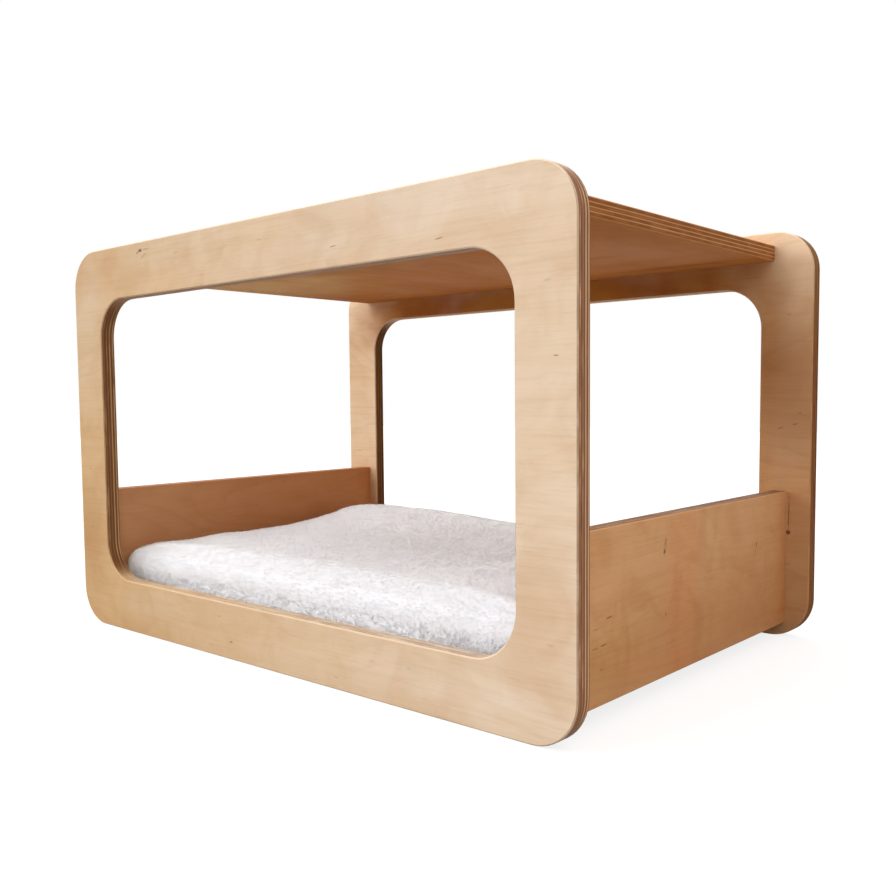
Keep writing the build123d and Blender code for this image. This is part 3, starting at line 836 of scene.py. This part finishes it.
def tufts(name, places, normals, random, length, width, sides=3):
    """Bent cones: each ring of a tuft lies at p + d·s + b·s², with its radius shrinking to the tip.

    p is the tuft's root, d its direction, b its bend and s its share of the way up. The rings are circles
    of few sides across the direction, and the tip is a single point. The root is closed by one face. The
    shading normals lean most of the way back to the skin's own, so that the pile looks soft, not spiky.
    """
    count = len(places)
    lean = random.normal(0, 0.38, (count, 3))
    combed = np.stack([lattice_noise(places, 14 * mm, seed) for seed in (5, 6, 7)], axis=1)
    shaggy = shagginess(places)[:, None]
    direction = normals * 0.5 + lean + (0.12 + 0.6 * shaggy) * combed
    direction += normals * np.maximum(0, 0.25 - (direction * normals).sum(axis=1, keepdims=True))
    direction /= np.linalg.norm(direction, axis=1, keepdims=True)
    bend = np.cross(direction, random.normal(0, 1, (count, 3))) * 0.45 - normals * 0.15
    side_a = np.cross(direction, bend)
    side_a /= np.maximum(np.linalg.norm(side_a, axis=1, keepdims=True), 1e-9)
    side_b = np.cross(direction, side_a)
    tall = length * random.uniform(0.6, 1.3, (count, 1)) * (0.21 + 0.81 * shaggy)
    wide = width * random.uniform(0.7, 1.3, (count, 1))
    angle = (np.arange(sides) * tau / sides)[None, :, None]
    circle = np.cos(angle) * side_a[:, None, :] + np.sin(angle) * side_b[:, None, :]
    rings = []
    for share, radius in ((-0.15, 1.0), (0.5, 0.75)):
        middle = places + direction * tall * share + bend * tall * share**2
        rings.append(middle[:, None, :] + circle * (wide * radius)[:, :, None])
    tip = (places + direction * tall + bend * tall)[:, None, :]
    points = keep_inside(np.concatenate(rings + [tip], axis=1).reshape(-1, 3), room=0.0)
    here = np.arange(sides)
    after = (here + 1) % sides
    walls = np.stack([here, after, after + sides, here + sides], axis=1)
    cone = np.stack([here + sides, after + sides, np.full(sides, 2 * sides)], axis=1)
    first = (np.arange(count) * (2 * sides + 1))[:, None, None]
    faces = (walls[None] + first).reshape(-1, 4).tolist()
    faces += (cone[None] + first).reshape(-1, 3).tolist()
    faces += (here[::-1][None, :] + first[:, :, 0]).tolist()
    piece = mesh_object(name, points.tolist(), faces)
    outward = np.concatenate([circle, circle, direction[:, None, :]], axis=1)
    soft = normals[:, None, :] + (0.02 + 0.12 * shaggy)[:, :, None] * outward
    soft /= np.linalg.norm(soft, axis=2, keepdims=True)
    piece.data.normals_split_custom_set_from_vertices(soft.reshape(-1, 3).tolist())
    return piece


tuft_count = 19500
pile_count, first_seed, lowest_tuft = 7, 11, 7 * mm
piles = []
for number in range(pile_count):
    places, directions, random = scatter(cover, tuft_count, base_z + lowest_tuft, seed=first_seed + number)
    name = f"cushion_pile_{number + 1}"
    piles.append(tufts(name, places, directions, random, length=1.8 * mm, width=0.33 * mm))
print("pile:", len(piles), "pieces of", tuft_count, "tufts")


# %% Plush finish
def plush(name, deep_light):
    """White plush: matt, with a soft sheen. Deep light spreads through the skin and evens its shade."""
    t = Finish(name)
    place = t.add("TexCoord", {}, output="Object")
    cloud = t.noise(place, scale=60.0, detail=3.0)
    fine = t.noise(place, scale=1400.0, detail=2.0)
    tone = t.mix(t.step(cloud, 0.3, 0.7), colour(0.835, 0.84, 0.865), colour(0.795, 0.795, 0.815))
    tone = t.mix(t.step(fine, 0.5, 0.8, 0.0, 0.08), tone, colour(0.78, 0.76, 0.75))
    more = {"Sheen Weight": 0.3, "Sheen Roughness": 0.5, "Subsurface Weight": deep_light}
    more |= {"Subsurface Scale": 3 * mm, "Subsurface Radius": (1.0, 1.0, 1.0)}
    return t.shade(tone, 0.95, fine, strength=0.15, distance=0.3 * mm, **more)


cover.data.materials.append(plush("white_plush", deep_light=1.0))
pile_plush = plush("white_pile", deep_light=0.0)
for piece in piles:
    piece.data.materials.append(pile_plush)
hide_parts("cushion_plush_top", "cushion_wadding")
for piece in [cover] + piles:
    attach(piece, "cushion")

# %% [markdown]
# ## Base cloth and seam
#
# Underneath, the cover is a plain woven cloth, sewn to the plush along the lower edge. Swelling has moved
# that edge, so the seam's line is found on the cover itself. The cloth is a grid inside that line, turned up
# at its rim, and its weave is two sets of crossing waves in the finish. The seam is a thin cord along the
# line, ribbed by the overlock stitches.


# %% Base cloth
def ahead_of(x, y):
    """Unit vectors along a closed outline."""
    ahead = np.stack([np.roll(x, -1) - np.roll(x, 1), np.roll(y, -1) - np.roll(y, 1)], axis=1)
    return ahead / np.linalg.norm(ahead, axis=1, keepdims=True)


def laid_on(piece, x, y, height, band, reach):
    """An outline moved in or out until it lies on a piece's side at one height.

    Each point moves outwards by Σwn / Σw over the piece's points in a band about the height. n is such a
    point's distance outwards, and w = exp(-(t/r)²) falls with its distance t along the outline.
    """
    ahead = ahead_of(x, y)
    side = points_of(piece)
    side = side[np.abs(side[:, 2] - height) < band]
    apart_x, apart_y = side[:, 0] - x[:, None], side[:, 1] - y[:, None]
    passed = apart_x * ahead[:, :1] + apart_y * ahead[:, 1:]
    outwards = apart_x * ahead[:, 1:] - apart_y * ahead[:, :1]
    weight = np.exp(-((passed / reach) ** 2)) * (np.abs(outwards) < 2 * reach)
    shift = (weight * outwards).sum(axis=1) / weight.sum(axis=1)
    return x + ahead[:, 1] * shift, y - ahead[:, 0] * shift


def seam_outline(count):
    """The seam's line, with so many points, as it lies on the swollen cover."""
    outline = rounded_outline(half_width - seam_inset, half_depth - seam_inset, corner_radius, count)
    return laid_on(cover, *outline, base_z + side_height, band=1.2 * mm, reach=4 * mm)


seam_lift = 2.4 * mm
seam_inset = 4.6 * mm
side_height = 3 * mm  # above the base, where the cover's side is looked for
cloth_lift, rim_lift = 0.05 * mm, 1.1 * mm
cloth_thickness = 0.6 * mm
outline_x, outline_y = seam_outline(outline_points)
cloth_rings = []
for shrink in np.append(np.linspace(0.02, 0.98, 13), 1.0):
    level = np.full(outline_points, base_z + (cloth_lift if shrink < 1 else rim_lift))
    cloth_rings.append(np.stack([outline_x * shrink, outline_y * shrink, level], axis=1))
cloth_rings = np.array(cloth_rings)
cloth_faces = ring_faces(*cloth_rings.shape[:2])[:-1]  # without the last ring's own face
cloth = mesh_object("cushion_base", cloth_rings.reshape(-1, 3).tolist(), cloth_faces)
thick = cloth.modifiers.new("thick", "SOLIDIFY")
thick.thickness = cloth_thickness
thick.offset = 1.0
apply_modifier(cloth, "thick")


def weave(name):
    """Plain cloth: two crossing sets of threads, one over the other by turns."""
    t = Finish(name)
    x, y, z = t.split(t.add("TexCoord", {}, output="Object"))
    thread = tau / (0.9 * mm)
    warp = t.math("SINE", t.times(x, thread))
    weft = t.math("SINE", t.times(y, thread))
    height = t.times(warp, weft)
    cloud = t.noise(t.join(x, y, z), scale=40.0, detail=3.0)
    tone = t.mix(t.step(cloud, 0.3, 0.7), colour(0.62, 0.60, 0.57), colour(0.54, 0.52, 0.49))
    # Painted shade: darker in the hollows between the threads.
    tone = t.mix(t.step(height, 0.2, -0.9, 0.0, 0.5), tone, colour(0.34, 0.32, 0.30))
    return t.shade(tone, 0.9, height, strength=0.4, distance=0.1 * mm)


cloth.data.materials.append(weave("base_cloth"))
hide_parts("cushion_base_cloth")
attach(cloth, "cushion")

# %% Seam cord
seam_radius = 0.8 * mm
stitch_pitch = 2.6 * mm
seam_points, seam_sides = 2400, 8
rib_share = 0.14


def ribbed_loop(x, y, height, radius, pitch):
    """A closed tube along a flat outline, as rings: each ring's radius is R·(1 + r·cos(2πs/p)).

    s is the distance along the outline, r the ribs' share and p the stitches' pitch, made to fit a whole
    number of times. A ring stands across the outline: its circle is spanned by the outline's outward
    direction and the height.
    """
    ahead = ahead_of(x, y)
    gaps = np.hypot(np.roll(x, -1) - x, np.roll(y, -1) - y)
    passed = np.concatenate([[0.0], np.cumsum(gaps)[:-1]])
    stitches = np.round(gaps.sum() / pitch)
    ribbed = radius * (1 + rib_share * np.cos(tau * stitches * passed / gaps.sum()))
    angle = -np.arange(seam_sides) * tau / seam_sides
    across, rise = ribbed[:, None] * np.cos(angle), ribbed[:, None] * np.sin(angle)
    rings_x = x[:, None] + ahead[:, 1:] * across
    rings_y = y[:, None] - ahead[:, :1] * across
    return np.stack([rings_x, rings_y, height + rise], axis=-1)


loop = ribbed_loop(*seam_outline(seam_points), base_z + seam_lift, seam_radius, stitch_pitch)
seam = mesh_object("cushion_seam", loop.reshape(-1, 3).tolist(), ring_faces(*loop.shape[:2], looped=True))


def thread(name):
    """Sewing thread: off white, with fine slanting lines of its twist."""
    t = Finish(name)
    x, y, z = t.split(t.add("TexCoord", {}, output="Object"))
    slant = t.math("ADD", t.math("ADD", x, y), t.times(z, 2.0))
    twist = t.math("SINE", t.times(slant, tau / (0.5 * mm)))
    cloud = t.noise(t.join(x, y, z), scale=90.0, detail=3.0)
    tone = t.mix(t.step(cloud, 0.3, 0.7), colour(0.80, 0.79, 0.77), colour(0.72, 0.71, 0.68))
    # Painted shade: darker in the grooves of the twist.
    tone = t.mix(t.step(twist, 0.1, -0.9, 0.0, 0.4), tone, colour(0.50, 0.48, 0.45))
    return t.shade(tone, 0.8, twist, strength=0.3, distance=0.05 * mm)


seam.data.materials.append(thread("seam_thread"))
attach(seam, "cushion")
print("seam cord:", len(seam.data.polygons), "faces")

# %% [markdown]
# ## Floor, backdrop and light
#
# The photograph is a product picture on plain white. A white floor takes the shelf's soft shadow, and both it
# and the world look white only to the camera and in reflections, so that the light on the wood stays at a
# plain level. The wood's left and front sides are bright and its right and inner sides are in shade, so one
# large soft sun stands to the front left. Three weaker ones fill in from the right, from the back and, under
# the roof, from the left, and the world does the rest.


# %% Floor
def seen_directly(t):
    """1 for rays from the camera or by way of a mirror or glass, 0 for the rest."""
    seen = t.add("LightPath", {}, output="Is Camera Ray")
    for mirrored in ("Is Glossy Ray", "Is Transmission Ray"):
        seen = t.math("MAXIMUM", seen, t.add("LightPath", {}, output=mirrored))
    return seen


floor_reach = 4.0
floor_glow = 0.80
fill_strength = 0.645
corners = [(x * floor_reach, y * floor_reach, 0) for x, y in ((-1, -1), (1, -1), (1, 1), (-1, 1))]
floor = mesh_object("floor", corners, [[0, 1, 2, 3]])
t = Finish("white_floor")
glow = t.add("Emission", {"Color": colour(1, 1, 1), "Strength": t.times(seen_directly(t), floor_glow)})
matt = t.add("BsdfDiffuse", {"Color": colour(0.27, 0.262, 0.255)})
t.add("OutputMaterial", {"Surface": t.add("AddShader", {0: matt, 1: glow})})
floor.data.materials.append(t.data)

# %% World and sun
t = Finish("studio", bpy.data.worlds)
fill_light = t.add("Background", {"Color": colour(1.0, 0.97, 0.93), "Strength": fill_strength})
white = t.add("Background", {"Color": colour(1, 1, 1), "Strength": 1.0})
t.add("OutputWorld", {"Surface": t.add("MixShader", {0: seen_directly(t), 1: fill_light, 2: white})})
bpy.context.scene.world = t.data


def far_lamp(name, towards, strength, spread, tint):
    """A lamp so far away that its light is even, seen from the shelf in one direction."""
    data = bpy.data.lights.new(name, "SUN")
    data.energy, data.angle, data.color = strength, radians(spread), tint
    lamp = bpy.data.objects.new(name, data)
    lamp.rotation_euler = Vector(towards).to_track_quat("Z", "Y").to_euler()
    bpy.context.scene.collection.objects.link(lamp)
    print(name, "from", towards, "strength", strength)


far_lamp("key", (-0.62, -0.66, 0.50), 2.37, 70, (0.97, 0.99, 1.04))
far_lamp("fill", (0.74, -0.28, 0.61), 0.85, 60, (1.0, 0.96, 0.90))
far_lamp("back", (-0.25, 0.62, 0.74), 0.85, 50, (1.0, 0.97, 0.92))
far_lamp("side", (-0.68, 0.15, 0.72), 0.75, 34, (0.98, 0.99, 1.02))
bpy.context.scene.view_settings.view_transform = "Standard"
